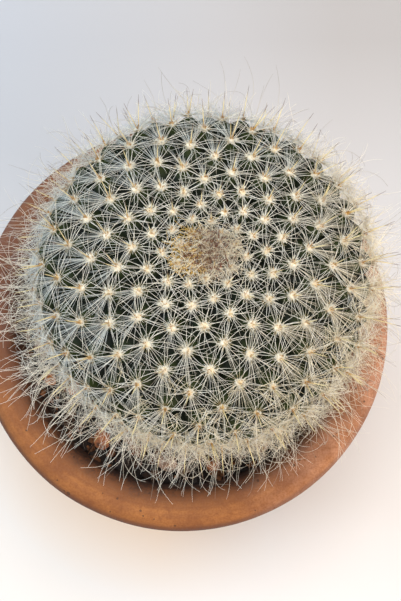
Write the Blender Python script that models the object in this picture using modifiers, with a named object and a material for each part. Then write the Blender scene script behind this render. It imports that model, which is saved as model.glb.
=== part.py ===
"""Potted pincushion cactus: a terracotta pot, its soil with loose grit, and one spiny plant.

Metres, +Z up. The origin is the centre of the pot's underside. -Y is the front.
"""

import math
import random
from collections import namedtuple

import bmesh
import bpy
import numpy as np
from mathutils import Matrix, Vector, noise
from mathutils.bvhtree import BVHTree
from mathutils.geometry import delaunay_2d_cdt

# Clearance between pieces that touch
GAP = 0.0003

# Profile points this close to the axis become one point on it
MERGE_WITHIN = 0.00001

# Pot
POT_HEIGHT = 0.100
LIP_RADIUS = 0.060
MOUTH_RADIUS = 0.0476
LIP_ROUND = 0.0045
ROUND_STEPS = 4
COLLAR_FOOT = 0.074
COLLAR_FOOT_RADIUS = 0.0585
COLLAR_BEVEL = 0.0012
SHOULDER_RADIUS = 0.052
BASE_RADIUS = 0.040
BASE_BEVEL = 0.0015
FLOOR = 0.008
FLOOR_RADIUS = 0.0355
FLOOR_BEVEL = 0.004
DRAIN_RADIUS = 0.007
POT_SIDES = 48

# Soil
SOIL_TOP = 0.089
SOIL_BUMP = 0.0017
SOIL_BUMPS_PER_METRE = 170.0
SOIL_RINGS = 12
SOIL_RING_WIDTH = 0.0021

# Plant body: a flat crown and a rounder belly, both measured from the widest ring
BODY_CENTRE = Vector((0.0063, 0.0068, 0.125))
LEAN_BACK = math.radians(6.5)
LEAN_RIGHT = math.radians(3.9)
BODY_RADIUS = 0.045
CROWN_HEIGHT = 0.024
CROWN_POWER = 2.8
BELLY_DEPTH = 0.045
BELLY_POWER = 2.0
OUTLINE_STEPS = 600
OUTLINE_TURN = math.radians(150)

# Neck of the plant, and the plain hole in the soil that it stands in
NECK_CENTRE = Vector((0.0036, 0.0023, 0.0))
NECK_RADIUS = 0.0295
NECK_FOOT = 0.0845
NECK_TOP = 0.0925
NECK_SIDES = 24
NECK_POLARS = (math.radians(160), math.radians(168))
HOLE_RADIUS = 0.0305

# Areoles: each follows the last by the golden angle, and they stand closer near the crown
GOLDEN_ANGLE = math.radians(137.50776)
FIRST_AZIMUTH = 1.355
WIDEST_SPACING = 0.00993
SPACING_GROWTH = 0.0218
SPACING_START = 0.00625
HEXAGON_SHARE = 0.866
LOWEST_AREOLE = 0.0965
LOWEST_SPINES = 0.105

# Tubercles, as shares of the spacing there
VALLEY_DEPTH = 0.38
PAD_SIZE = 0.15
PAD_RING = 0.06
PAD_DROP = 0.08
YOUNG_SPACING = 0.0042

# Spines: six radials and one central on each areole, longer and steeper towards the skirt
RADIAL_LENGTH = 1.1
RADIAL_RISE = math.radians(30)
RADIAL_TWIST = math.radians(15)
CENTRAL_LENGTHS = (0.0035, 0.0075)
CENTRAL_GROWN = 0.035
SKIRT_TOP = 0.121
SKIRT_LENGTH = 0.016
SKIRT_RISE = math.radians(60)
SKIRT_SLOPE = 0.1
SPINE_REACH = 0.0596
LIP_CLEARANCE = 0.0015
ROOT_SHARE = 0.075
SPINE_GAP = 0.00025
SHARED_ROOT = 0.0012
SPINE_TRIES = 60
FIRST_WOBBLE = 0.03
MORE_WOBBLE = 0.00375
SHRINK = 0.012
TRIM = 0.95
SPINE_SEED = 7

# Grit
GRIT_COUNT = 26
GRIT_RADII = (0.0026, 0.0046)
GRIT_BUMP = 0.55
GRIT_FLATTEST = 0.6
GRIT_APART = 0.0003
GRIT_SEED = 11

Areole = namedtuple("Areole", "spot outward spacing along on_map")
ASSEMBLY = bpy.data.collections.new("potted_pincushion_cactus")
CUTTERS = bpy.data.collections.new("cutters")


def clear_scene():
    """Empties the scene and adds the collections for the parts and for the cutter."""
    for obj in list(bpy.data.objects):
        bpy.data.objects.remove(obj)
    bpy.context.scene.collection.children.link(ASSEMBLY)
    bpy.context.scene.collection.children.link(CUTTERS)


def make_material(name, colour, roughness):
    material = bpy.data.materials.new(name)
    material.use_nodes = True
    shader = material.node_tree.nodes["Principled BSDF"]
    shader.inputs["Base Color"].default_value = (*colour, 1.0)
    shader.inputs["Roughness"].default_value = roughness
    shader.inputs["Metallic"].default_value = 0.0
    return material


def add_object(name, mesh, material):
    obj = bpy.data.objects.new(name, mesh)
    mesh.materials.append(material)
    ASSEMBLY.objects.link(obj)
    return obj


def mesh_from(bm, name):
    bmesh.ops.recalc_face_normals(bm, faces=bm.faces)
    mesh = bpy.data.meshes.new(name)
    bm.to_mesh(mesh)
    bm.free()
    return mesh


def turned(name, outline, material):
    """Turns a profile of (radius, height) points, outer side first and top to bottom, about Z."""
    mesh = bpy.data.meshes.new(name)
    edges = [(i, i + 1) for i in range(len(outline) - 1)]
    mesh.from_pydata([(radius, 0.0, height) for radius, height in outline], edges, [])
    obj = add_object(name, mesh, material)
    screw = obj.modifiers.new("turn", "SCREW")
    screw.steps = POT_SIDES
    screw.render_steps = POT_SIDES
    screw.use_merge_vertices = True
    screw.merge_threshold = MERGE_WITHIN
    return obj


def quarter_round(centre_radius, centre_height, start):
    """Points of a quarter circle in the profile plane, clockwise from the start angle in degrees."""
    angles = [math.radians(start - 90 * i / ROUND_STEPS) for i in range(ROUND_STEPS + 1)]
    return [
        (centre_radius + LIP_ROUND * math.cos(a), centre_height + LIP_ROUND * math.sin(a))
        for a in angles
    ]


def inner_radius(height):
    """The pot's inner wall is one straight taper from the floor to the mouth."""
    share = (height - FLOOR) / (POT_HEIGHT - LIP_ROUND - FLOOR)
    return FLOOR_RADIUS + (MOUTH_RADIUS - FLOOR_RADIUS) * share


def build_pot(material):
    round_height = POT_HEIGHT - LIP_ROUND
    outline = quarter_round(LIP_RADIUS - LIP_ROUND, round_height, 90)
    outline += [
        (COLLAR_FOOT_RADIUS, COLLAR_FOOT + COLLAR_BEVEL),
        (COLLAR_FOOT_RADIUS - COLLAR_BEVEL, COLLAR_FOOT),
        (SHOULDER_RADIUS, COLLAR_FOOT),
        (BASE_RADIUS, BASE_BEVEL),
        (BASE_RADIUS - BASE_BEVEL, 0.0),
        (DRAIN_RADIUS, 0.0),
        (DRAIN_RADIUS, FLOOR),
        (inner_radius(FLOOR) - FLOOR_BEVEL, FLOOR),
        (inner_radius(FLOOR + FLOOR_BEVEL), FLOOR + FLOOR_BEVEL),
    ]
    outline += quarter_round(MOUTH_RADIUS + LIP_ROUND, round_height, 180)
    outline.append(outline[0])
    return turned("pot", outline, material)


def cut_hole(target, centre, radius, bottom):
    """Cuts a plain round hole from above, down to the given height."""
    bm = bmesh.new()
    depth = 2 * (SOIL_TOP - bottom)
    bmesh.ops.create_cone(
        bm,
        cap_ends=True,
        segments=POT_SIDES,
        radius1=radius,
        radius2=radius,
        depth=depth,
        matrix=Matrix.Translation((centre.x, centre.y, SOIL_TOP)),
    )
    cutter = bpy.data.objects.new("hole_cutter", mesh_from(bm, "hole_cutter"))
    CUTTERS.objects.link(cutter)
    cutter.hide_render = True
    cutter.display_type = "WIRE"
    cut = target.modifiers.new("hole", "BOOLEAN")
    cut.operation = "DIFFERENCE"
    cut.object = cutter


def build_soil(material):
    """A plug that fills the pot, with a lumpy top and a hole for the plant's neck."""
    edge = inner_radius(SOIL_TOP) - GAP
    outline = [
        (edge, SOIL_TOP),
        (inner_radius(FLOOR + FLOOR_BEVEL) - GAP, FLOOR + FLOOR_BEVEL),
        (inner_radius(FLOOR) - FLOOR_BEVEL - GAP, FLOOR + GAP),
        (0.0, FLOOR + GAP),
    ]
    top = [(edge - SOIL_RING_WIDTH * i, SOIL_TOP) for i in range(1, SOIL_RINGS + 1)]
    outline = [(0.0, SOIL_TOP)] + top[::-1] + outline
    soil = turned("soil", outline, material)
    plug = bpy.data.meshes.new_from_object(
        soil.evaluated_get(bpy.context.evaluated_depsgraph_get())
    )
    soil.modifiers.clear()
    soil.data = plug
    for vertex in plug.vertices:
        inside = math.hypot(vertex.co.x, vertex.co.y) < edge - GAP
        if inside and vertex.co.z > SOIL_TOP - GAP:
            vertex.co.z += SOIL_BUMP * noise.noise(vertex.co * SOIL_BUMPS_PER_METRE)
    cut_hole(soil, NECK_CENTRE, HOLE_RADIUS, NECK_FOOT - GAP)
    return soil


def body_outline():
    """(radius, height) points of the plant's outline, from the crown down to the belly."""
    points = []
    for i in range(OUTLINE_STEPS + 1):
        turn = OUTLINE_TURN * i / OUTLINE_STEPS
        crown = math.cos(turn) > 0
        power = CROWN_POWER if crown else BELLY_POWER
        depth = CROWN_HEIGHT if crown else -BELLY_DEPTH
        radius = BODY_RADIUS * math.sin(turn) ** (2 / power)
        points.append(Vector((radius, 0.0, depth * abs(math.cos(turn)) ** (2 / power))))
    return points


def areole_places():
    """Every areole that shows above the neck, in the order in which they grew outwards."""
    body = Matrix.Translation(BODY_CENTRE)
    body @= Matrix.Rotation(LEAN_RIGHT, 4, "Y") @ Matrix.Rotation(-LEAN_BACK, 4, "X")
    outline = body_outline()
    areoles = []
    grown = 0.0
    along = 0.0
    for upper, lower in zip(outline, outline[1:]):
        step = (lower - upper).length
        spacing = WIDEST_SPACING * (1 - math.exp(-(along + SPACING_START) / SPACING_GROWTH))
        new = math.pi * (upper.x + lower.x) * step / (HEXAGON_SHARE * spacing**2)
        while grown + new > len(areoles) + 0.5:
            share = (len(areoles) + 0.5 - grown) / new
            azimuth = FIRST_AZIMUTH - (len(areoles) + 1) * GOLDEN_ANGLE
            turned_body = body @ Matrix.Rotation(azimuth, 4, "Z")
            slope = (lower - upper).normalized()
            outward = turned_body.to_3x3() @ Vector((-slope.z, 0.0, slope.x))
            spot = turned_body @ upper.lerp(lower, share)
            on_map = map_point(azimuth, (along + share * step) / BODY_RADIUS)
            areoles.append(Areole(spot, outward, spacing, along, on_map))
        grown += new
        along += step
    return [areole for areole in areoles if areole.spot.z > LOWEST_AREOLE]


def map_point(azimuth, polar):
    """A place on a flat map of the plant, with the crown in the middle and circles kept round."""
    return math.tan(polar / 2) * Vector((math.cos(azimuth), math.sin(azimuth)))


def body_net(bm, areoles):
    """Triangles from areole to areole and down to the neck. Returns each tip with its areole."""
    spots = [areole.spot + areole.outward * PAD_DROP * areole.spacing for areole in areoles]
    on_map = [areole.on_map for areole in areoles]
    for height, polar in zip((NECK_TOP, NECK_FOOT), NECK_POLARS):
        for i in range(NECK_SIDES):
            azimuth = 2 * math.pi * i / NECK_SIDES
            side = Vector((math.cos(azimuth), math.sin(azimuth), 0.0)) * NECK_RADIUS
            spots.append(NECK_CENTRE + side + Vector((0.0, 0.0, height)))
            on_map.append(map_point(azimuth, polar))
    verts = [bm.verts.new(spot) for spot in spots]
    for triangle in delaunay_2d_cdt(on_map, [], [], 0, 0.0)[2]:
        bm.faces.new([verts[corner] for corner in triangle])
    bm.faces.new(verts[-NECK_SIDES:])
    return dict(zip(verts, areoles))


def raise_tubercles(bm, tips):
    """Sinks a valley into each triangle of areoles, then turns the edges between tips into valleys."""
    relief = [face for face in bm.faces if all(vert in tips for vert in face.verts)]
    sunk = set(relief)
    ridges = [edge for edge in bm.edges if sunk.issuperset(edge.link_faces)]
    for valley in bmesh.ops.poke(bm, faces=relief)["verts"]:
        around = [tips[edge.other_vert(valley)] for edge in valley.link_edges]
        inward = -sum((areole.outward for areole in around), Vector()) / len(around)
        spacing = sum(areole.spacing for areole in around) / len(around)
        valley.co += inward * VALLEY_DEPTH * spacing
    bmesh.ops.rotate_edges(bm, edges=ridges)


def skirt_share(areole):
    """0 on the crown and shoulders, 1 on the lowest spiny row."""
    return min(max((SKIRT_TOP - areole.spot.z) / (SKIRT_TOP - LOWEST_SPINES), 0.0), 1.0)


def spine_tip(root, direction, length):
    """The tip of a spine, shortened to stay inside the pot's width and above its lip."""
    tip = root + direction * length
    while tip.xy.length > SPINE_REACH or tip.z < POT_HEIGHT + LIP_CLEARANCE:
        length *= TRIM
        tip = root + direction * length
    return tip


class Spines:
    """Every spine grown so far. Each new one is drawn until it passes clear of the others."""

    def __init__(self):
        self.rows = []
        self.draw = random.Random(SPINE_SEED)

    def gap(self, root, tip, radius, owner):
        """The least gap between a tapering spine and the others, from their closest points."""
        if not self.rows:
            return SPINE_GAP
        rows = np.array(self.rows)
        roots, tips, radii = rows[:, 0:3], rows[:, 3:6], rows[:, 6]
        shared = np.where(rows[:, 7] == owner, SHARED_ROOT, 0.0)
        way = np.array(tip - root)
        ways = tips - roots
        apart = np.array(root) - roots
        long = way @ way
        longs = (ways * ways).sum(axis=1)
        start = np.minimum(shared / np.sqrt(long), 1.0)
        starts = np.minimum(shared / np.sqrt(longs), 1.0)
        along = ways @ way
        sideways = (ways * apart).sum(axis=1)
        skew = np.maximum(long * longs - along**2, np.finfo(float).tiny)
        part = np.clip((along * sideways - longs * (apart @ way)) / skew, start, 1.0)
        parts = np.clip((along * part + sideways) / longs, starts, 1.0)
        part = np.clip((along * parts - apart @ way) / long, start, 1.0)
        between = apart + np.outer(part, way) - ways * parts[:, None]
        distance = np.sqrt((between * between).sum(axis=1))
        return (distance - radius * (1 - part) - radii * (1 - parts)).min()

    def grow(self, root, direction, length, radius, owner):
        """Draws one spine, leaning it further and shortening it until it is clear."""
        best_gap, best_tip = -1.0, None
        for attempt in range(SPINE_TRIES):
            spread = FIRST_WOBBLE + MORE_WOBBLE * attempt
            wobble = Vector([self.draw.gauss(0, spread) for _ in range(3)])
            shorter = length * (1 - SHRINK * attempt)
            tip = spine_tip(root, (direction + wobble).normalized(), shorter)
            gap = self.gap(root, tip, radius, owner)
            if gap > best_gap:
                best_gap, best_tip = gap, tip
            if gap >= SPINE_GAP:
                break
        self.rows.append((*root, *best_tip, radius, owner))
        return best_tip


def grow_radials(bm, ring, centre, areole, spines):
    """Draws each face of the pad's ring out to a radial spine."""
    skirt = skirt_share(areole)
    outward = areole.outward.copy()
    outward.z = max(outward.z, -SKIRT_SLOPE)
    outward.normalize()
    rise = RADIAL_RISE + (SKIRT_RISE - RADIAL_RISE) * skirt
    length = RADIAL_LENGTH * areole.spacing
    length += (SKIRT_LENGTH - length) * skirt
    radius = ROOT_SHARE * areole.spacing
    for root in sorted(bmesh.ops.poke(bm, faces=ring)["verts"], key=lambda vert: tuple(vert.co)):
        across = root.co - centre
        across -= outward * across.dot(outward)
        across.rotate(Matrix.Rotation(RADIAL_TWIST, 3, outward))
        direction = across.normalized() * math.cos(rise) + outward * math.sin(rise)
        root.co = spines.grow(root.co.copy(), direction, length, radius, areole.along)


def grow_areole(bm, tip, areole, spines):
    """Flattens a tubercle's tip to a pad, with its spines above the skirt's lower edge."""
    cut = bmesh.ops.bevel(
        bm, geom=[tip], offset=PAD_SIZE * areole.spacing, affect="VERTICES", segments=1, profile=0.5
    )
    pad = max(cut["faces"], key=lambda face: face.normal.dot(areole.outward))
    if areole.spot.z < LOWEST_SPINES:
        return
    centre = pad.calc_center_median()
    if areole.spacing > YOUNG_SPACING:
        ring = bmesh.ops.inset_individual(bm, faces=[pad], thickness=PAD_RING * areole.spacing)
        grow_radials(bm, ring["faces"], centre, areole, spines)
    central = bmesh.ops.poke(bm, faces=[pad])["verts"][0]
    grown = min(areole.along / CENTRAL_GROWN, 1.0)
    length = CENTRAL_LENGTHS[0] + (CENTRAL_LENGTHS[1] - CENTRAL_LENGTHS[0]) * grown
    radius = ROOT_SHARE * areole.spacing
    central.co = spines.grow(central.co.copy(), areole.outward, length, radius, areole.along)


def build_cactus(material):
    bm = bmesh.new()
    tips = body_net(bm, areole_places())
    raise_tubercles(bm, tips)
    spines = Spines()
    for tip, areole in tips.items():
        grow_areole(bm, tip, areole, spines)
    bmesh.ops.triangulate(bm, faces=bm.faces)
    return add_object("cactus", mesh_from(bm, "cactus"), material)


def chip_mesh(name, radius, draw):
    """An angular chip inside a ball of the given radius."""
    bm = bmesh.new()
    bmesh.ops.create_icosphere(bm, subdivisions=2, radius=radius)
    offset = Vector([draw.uniform(-9, 9) for _ in range(3)])
    for vert in bm.verts:
        vert.co *= 1 - GRIT_BUMP * abs(noise.noise(vert.co / radius + offset))
    squash = [draw.uniform(GRIT_FLATTEST, 1.0) for _ in range(3)]
    bmesh.ops.scale(bm, vec=squash, verts=bm.verts)
    spin = Matrix.Rotation(draw.uniform(0, 2 * math.pi), 3, "Z")
    bmesh.ops.rotate(bm, matrix=spin, verts=bm.verts)
    return mesh_from(bm, name)


def drop(chip, ground):
    """Lowers a chip until it lies just above the soil."""
    heights = []
    for vertex in chip.data.vertices:
        spot = chip.location + vertex.co
        below = ground.ray_cast(spot, Vector((0.0, 0.0, -1.0)))
        if below[0]:
            heights.append(below[3])
    chip.location.z -= min(heights) - GAP


def build_grit(material, soil, cactus):
    """Loose chips on the soil, wherever the gap between plant and pot takes them."""
    draw = random.Random(GRIT_SEED)
    graph = bpy.context.evaluated_depsgraph_get()
    ground = BVHTree.FromObject(soil, graph)
    plant = BVHTree.FromObject(cactus, graph)
    placed = []
    while len(placed) < GRIT_COUNT:
        radius = draw.uniform(*GRIT_RADII)
        outer = inner_radius(SOIL_TOP - SOIL_BUMP) - radius - GAP
        reach = draw.uniform(NECK_RADIUS, outer)
        azimuth = draw.uniform(0.0, 2 * math.pi)
        height = SOIL_TOP + SOIL_BUMP + radius
        centre = Vector((reach * math.cos(azimuth), reach * math.sin(azimuth), height))
        on_soil = (centre - NECK_CENTRE).xy.length > HOLE_RADIUS + radius
        below_plant = plant.find_nearest(centre)[3] > radius + GAP
        alone = all((centre - spot).length > radius + other + GRIT_APART for spot, other in placed)
        if on_soil and below_plant and alone:
            placed.append((centre, radius))
            name = f"grit_{len(placed):02d}"
            chip = add_object(name, chip_mesh(name, radius, draw), material)
            chip.location = centre
            drop(chip, ground)


clear_scene()
terracotta = make_material("terracotta", (0.44, 0.18, 0.075), 0.85)
potting_mix = make_material("potting_mix", (0.035, 0.022, 0.015), 0.95)
plant_skin = make_material("plant_skin", (0.12, 0.16, 0.07), 0.6)
chips = make_material("grit", (0.25, 0.12, 0.05), 0.9)
build_pot(terracotta)
soil = build_soil(potting_mix)
cactus = build_cactus(plant_skin)
build_grit(chips, soil, cactus)
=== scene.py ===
import math

import bmesh
import bpy
import numpy as np
from mathutils import Matrix, Vector, kdtree, noise


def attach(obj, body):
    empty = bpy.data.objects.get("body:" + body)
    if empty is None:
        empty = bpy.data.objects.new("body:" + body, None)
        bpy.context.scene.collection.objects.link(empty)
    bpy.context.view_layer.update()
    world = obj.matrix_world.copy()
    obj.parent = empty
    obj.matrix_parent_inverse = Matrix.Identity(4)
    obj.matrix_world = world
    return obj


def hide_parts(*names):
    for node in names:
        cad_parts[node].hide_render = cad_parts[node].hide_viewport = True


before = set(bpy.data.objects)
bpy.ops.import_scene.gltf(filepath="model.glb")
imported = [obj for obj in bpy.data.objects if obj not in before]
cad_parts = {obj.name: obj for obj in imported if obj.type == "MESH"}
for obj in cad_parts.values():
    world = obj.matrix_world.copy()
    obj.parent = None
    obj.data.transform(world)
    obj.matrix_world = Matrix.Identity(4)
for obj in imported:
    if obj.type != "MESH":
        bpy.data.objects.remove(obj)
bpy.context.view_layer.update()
scene = bpy.context.scene
scene.view_settings.view_transform = "Standard"


# The studio: a pale table under a soft overhead light, with a broad warm light in front on the
# right and a cool window on the left. Light and shade are also painted into the table's colour.
# The camera looks down, 11 degrees off the vertical.
CAMERA_TILT = math.radians(11.36)
CAMERA_OFFSET = Vector((0.00526, 0.00563, 0.3452))
LIP_PLANE = 0.100
LENS_MM = 71.41
NEAREST_SEEN = 0.01
ROOM_COLOUR = (0.95, 0.97, 1.0, 1.0)
ROOM_STRENGTH = 0.17
TABLE_HALF = 3.0
# Each span is the places, or the distances from the pot's axis, that a band of the table's
# painted light and shade starts and is full at
NEAR_PAINTED_LIGHT_SPAN = (-0.05, 0.08)
FAR_PAINTED_SHADE_SPAN = (-0.09, 0.06)
BACK_PAINTED_SHADE_SPAN = (-0.06, 0.13)
PAINTED_BOUNCE_RING = (0.060, 0.085)
PAINTED_BOUNCE_SPAN = (0.030, -0.010)


def display(red, green, blue):
    """A colour as it is seen on a screen, from 0 to 255, in the linear values that shaders use."""
    parts = [part / 255 for part in (red, green, blue)]
    linear = [p / 12.92 if p < 0.04045 else ((p + 0.055) / 1.055) ** 2.4 for p in parts]
    return (*linear, 1.0)


def add_node(tree, kind, values=None, **settings):
    """Adds a shader node. A value that is another node's socket is linked, any other is set."""
    node = tree.nodes.new("ShaderNode" + kind)
    for key, value in settings.items():
        setattr(node, key, value)
    for key, value in (values or {}).items():
        if isinstance(value, bpy.types.NodeSocket):
            tree.links.new(value, node.inputs[key])
        else:
            node.inputs[key].default_value = value
    return node


def mix(tree, share, one, other):
    """Mixes two colours and gives the mixed colour's socket."""
    return add_node(tree, "Mix", {0: share, 6: one, 7: other}, data_type="RGBA").outputs[2]


def spread(tree, value, low, high, start=0.0, end=1.0):
    """Maps low to high onto start to end, and holds it there outside them."""
    values = {"Value": value, "From Min": low, "From Max": high, "To Min": start, "To Max": end}
    return add_node(tree, "MapRange", values).outputs["Result"]


def count(tree, operation, one, other):
    return add_node(tree, "Math", {0: one, 1: other}, operation=operation).outputs[0]


def times(tree, one, other):
    return count(tree, "MULTIPLY", one, other)


def object_place(tree):
    return add_node(tree, "TexCoord").outputs["Object"]


def clouds(tree, place, scale, detail=2.0, roughness=0.5):
    """Soft noise from 0 to 1, with scale as its lumps in a metre."""
    values = {"Vector": place, "Scale": scale, "Detail": detail, "Roughness": roughness}
    return add_node(tree, "TexNoise", values).outputs["Fac"]


def distance_to(tree, place, spot):
    return add_node(tree, "VectorMath", {0: place, 1: spot}, operation="DISTANCE").outputs["Value"]


def new_material(name, **plain):
    """A material with one principled shader, and plain values on that shader's own sockets."""
    material = bpy.data.materials.new(name)
    material.use_nodes = True
    tree = material.node_tree
    shader = tree.nodes["Principled BSDF"]
    for key, value in plain.items():
        shader.inputs[key.replace("_", " ").title()].default_value = value
    return material, tree, shader


def add_piece(name, mesh, material):
    piece = bpy.data.objects.new(name, mesh)
    piece.data.materials.append(material)
    scene.collection.objects.link(piece)
    return piece


camera_data = bpy.data.cameras.new("camera")
camera_data.lens = LENS_MM
camera_data.clip_start = NEAREST_SEEN
camera = bpy.data.objects.new("camera", camera_data)
camera.rotation_euler = (CAMERA_TILT, 0, 0)
camera_turn = Matrix.Rotation(CAMERA_TILT, 3, "X")
camera.location = Vector((0, 0, LIP_PLANE)) + camera_turn @ CAMERA_OFFSET
scene.collection.objects.link(camera)
scene.camera = camera

for name, place, side, power, colour in (
    ("overhead", (0.10, 0.20, 1.80), 0.9, 19.4, (1.0, 0.98, 0.94)),
    ("warm_key", (0.72, -0.68, 0.74), 0.8, 11.1, (1.0, 0.89, 0.76)),
    ("cool_window", (-1.00, 0.40, 0.80), 1.0, 14.2, (0.69, 0.85, 1.0)),
):
    light_data = bpy.data.lights.new(name, "AREA")
    light_data.size = side
    light_data.energy = power
    light_data.color = colour
    light = bpy.data.objects.new(name, light_data)
    light.location = place
    towards = Vector(place) - Vector((0, 0, LIP_PLANE))
    light.rotation_euler = towards.to_track_quat("Z", "Y").to_euler()
    scene.collection.objects.link(light)

world = bpy.data.worlds.new("soft_room")
world.use_nodes = True
background = world.node_tree.nodes["Background"].inputs
background["Color"].default_value = ROOM_COLOUR
background["Strength"].default_value = ROOM_STRENGTH
scene.world = world

TABLE_PAINTED_SHADE_LEFT, TABLE_PAINTED_LIGHT_RIGHT = display(222, 218, 215), display(236, 234, 236)
TABLE_CLOUD = display(240, 236, 232)
TABLE_PAINTED_BOUNCE = display(240, 214, 186)
FAR_PAINTED_SHADE_LEFT, FAR_PAINTED_SHADE_RIGHT = display(198, 199, 205), display(182, 176, 174)

table_mesh = bpy.data.meshes.new("table_top")
bm = bmesh.new()
bmesh.ops.create_grid(bm, x_segments=1, y_segments=1, size=TABLE_HALF)
bm.to_mesh(table_mesh)
bm.free()
table_material, tree, shader = new_material("pale_table", roughness=0.7)
place = object_place(tree)
across, depth, _ = add_node(tree, "SeparateXYZ", {0: place}).outputs
# Painted light: the near table is darker on the left and lighter on the right, where the pot hides the
# cool window.
near = mix(tree, spread(tree, across, *NEAR_PAINTED_LIGHT_SPAN), TABLE_PAINTED_SHADE_LEFT, TABLE_PAINTED_LIGHT_RIGHT)
near = mix(tree, spread(tree, clouds(tree, place, 3.0, 3.0), 0.3, 0.7, 0.0, 0.2), near, TABLE_CLOUD)
# Painted bounce light and contact shade: a warm, darker ring on the table round the pot, strongest on
# the left.
painted_bounce = times(tree, spread(tree, distance_to(tree, place, (0, 0, 0)), *PAINTED_BOUNCE_RING, 0.7, 0.0),
             spread(tree, across, *PAINTED_BOUNCE_SPAN))
near = mix(tree, painted_bounce, near, TABLE_PAINTED_BOUNCE)
# Painted shade: the far table is darker towards the back, cooler on the left and warmer on the right.
far = mix(tree, spread(tree, across, *FAR_PAINTED_SHADE_SPAN), FAR_PAINTED_SHADE_LEFT, FAR_PAINTED_SHADE_RIGHT)
colour = mix(tree, spread(tree, depth, *BACK_PAINTED_SHADE_SPAN), near, far)
tree.links.new(colour, shader.inputs["Base Color"])
table_top = add_piece("table_top", table_mesh, table_material)


# The pot: one turned terracotta pot with a thick rounded lip, unglazed, with fine turning lines,
# dark specks and damp stains on the inner side of the lip. Light and shade are painted on the lip
# too: a dark line round its outer edge, shade on the inner slope, shadow at the mouth and on the
# left, and pale light on the right. It stands free on the table.
POT_HEIGHT = 0.100
LIP_RADIUS = 0.060
MOUTH_RADIUS = 0.0476
LIP_ROUND = 0.0045
LIP_STEPS = 14
COLLAR_FOOT = 0.074
COLLAR_FOOT_RADIUS = 0.0585
COLLAR_BEVEL = 0.0012
SHOULDER_RADIUS = 0.052
BASE_RADIUS = 0.040
BASE_BEVEL = 0.0015
BASE_FLAT = 0.002
FLOOR = 0.008
FLOOR_RADIUS = 0.0355
FLOOR_BEVEL = 0.004
DRAIN_RADIUS = 0.007
POT_SIDES = 240
WALL_STEP = 0.004
THROWING_WOBBLE = 0.00012
WOBBLES_PER_METRE = 45
MERGE_WITHIN = 0.00001
# Each band is the radii, heights or places that a tone of the clay, or a band of painted light
# and shade on it, starts and is full at
RIM_SHADE_BAND = (0.0583, 0.0599)
LIP_BAND = (0.080, 0.086)
SLOPE_SHADE_BAND = (0.0550, 0.0505)
MOUTH_SHADOW_BAND = (0.0490, 0.0484)
DAMP_BAND = (0.0550, 0.0480)
LEFT_SHADOW_BAND = (-0.020, -0.050)
NOT_FRONT_BAND = (-0.030, 0.0)
RIGHT_LIGHT_BAND = (0.015, 0.060)
TURNING_SCALE = 900.0
GRAIN_SCALE = 1800.0
STAIN_SCALE = 90.0
SPECK_SCALE = 330.0
WEAR_SCALE = 420.0
TERRACOTTA = display(174, 110, 54)
TERRACOTTA_DARK = display(126, 72, 34)
RIM_PAINTED_SHADE = display(78, 44, 34)
DAMP_STAIN = display(58, 34, 22)
SPECK = display(44, 26, 18)
RIGHT_PAINTED_LIGHT = display(214, 160, 132)
INNER_SLOPE_SHADE_AND_DAMP = display(92, 52, 28)
LEFT_PAINTED_SHADOW = display(104, 62, 46)
MOUTH_PAINTED_SHADOW = display(26, 15, 10)


def turned(outline, sides, rounded=()):
    """Spins an outline of (radius, height) points once round the axis, into a closed shape.

    Each corner in rounded is (point number, width, segments), and is bevelled before the spin.
    """
    bm = bmesh.new()
    verts = [bm.verts.new((radius, 0, height)) for radius, height in outline]
    for one, other in zip(verts, verts[1:]):
        bm.edges.new((one, other))
    bmesh.ops.remove_doubles(bm, verts=bm.verts, dist=MERGE_WITHIN)
    corners = [(verts[number], width, segments) for number, width, segments in rounded]
    for corner, width, segments in corners:
        bmesh.ops.bevel(
            bm, geom=[corner], offset=width, segments=segments,
            affect="VERTICES", profile=0.5, material=-1,
        )
    for edge in list(bm.edges):
        cuts = int(edge.calc_length() / WALL_STEP)
        if cuts:
            bmesh.ops.subdivide_edges(bm, edges=[edge], cuts=cuts)
    bmesh.ops.spin(
        bm, geom=bm.verts[:] + bm.edges[:], cent=(0, 0, 0), axis=(0, 0, 1),
        angle=2 * math.pi, steps=sides, use_merge=True,
    )
    bmesh.ops.remove_doubles(bm, verts=bm.verts, dist=MERGE_WITHIN)
    bmesh.ops.recalc_face_normals(bm, faces=bm.faces)
    return bm


def finish_mesh(bm, name, sharp=math.radians(40)):
    """Turns the bmesh into a smooth mesh with its sharp corners kept."""
    mesh = bpy.data.meshes.new(name)
    for face in bm.faces:
        face.smooth = True
    bm.to_mesh(mesh)
    bm.free()
    mesh.set_sharp_from_angle(angle=sharp)
    return mesh


def lip_arc(centre_radius, start, end):
    """Points of (radius, height) on one rounded edge of the lip, between two angles in degrees."""
    turns = [math.radians(start + (end - start) * i / LIP_STEPS) for i in range(LIP_STEPS + 1)]
    rise = POT_HEIGHT - LIP_ROUND
    return [(centre_radius + LIP_ROUND * math.cos(t), rise + LIP_ROUND * math.sin(t)) for t in turns]


outline = lip_arc(LIP_RADIUS - LIP_ROUND, 90, 0)
first = len(outline)
outline += [(COLLAR_FOOT_RADIUS, COLLAR_FOOT), (SHOULDER_RADIUS, COLLAR_FOOT), (BASE_RADIUS, 0)]
outline += [(DRAIN_RADIUS, 0), (DRAIN_RADIUS, FLOOR), (FLOOR_RADIUS, FLOOR)]
outline += lip_arc(MOUTH_RADIUS + LIP_ROUND, 180, 90)
outline.append(outline[0])
corners = [(first, COLLAR_BEVEL, 4), (first + 2, BASE_BEVEL, 4), (first + 5, FLOOR_BEVEL, 5)]
bm = turned(outline, POT_SIDES, corners)
bm.normal_update()
for vert in bm.verts:
    if vert.co.z > BASE_FLAT:
        vert.co += vert.normal * noise.noise(vert.co * WOBBLES_PER_METRE) * THROWING_WOBBLE
pot_mesh = finish_mesh(bm, "pot_clay")

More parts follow.
